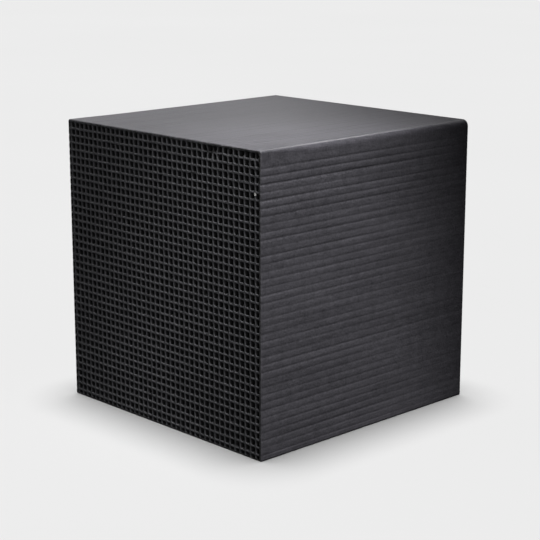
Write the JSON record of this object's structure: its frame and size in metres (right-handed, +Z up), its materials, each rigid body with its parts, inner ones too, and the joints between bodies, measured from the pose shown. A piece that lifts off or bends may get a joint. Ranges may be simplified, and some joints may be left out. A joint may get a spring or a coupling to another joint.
{
  "type": "activated carbon honeycomb block",
  "caption": "Extruded activated-carbon honeycomb cube: closed ridged skin on four sides, square through channels open at both cut faces, for filtering air.",
  "frame": {"origin": "centre of the flat base that the block stands on", "axes": "+Z up, channels along Y with the inlet face towards -Y, ridged skins at +X and -X"},
  "size_m": [0.1, 0.1014, 0.1024],
  "materials": {
    "skin": "satin black carbon, fine drag lines along the extrusion",
    "webs": "matte black carbon, dry sawn edges"
  },
  "bodies": {
    "root": {"top_skin": "skin", "bottom_skin": "skin", "right_skin": "skin", "left_skin": "skin", "vertical_webs": "webs", "horizontal_webs": "webs"}
  },
  "joints": []
}
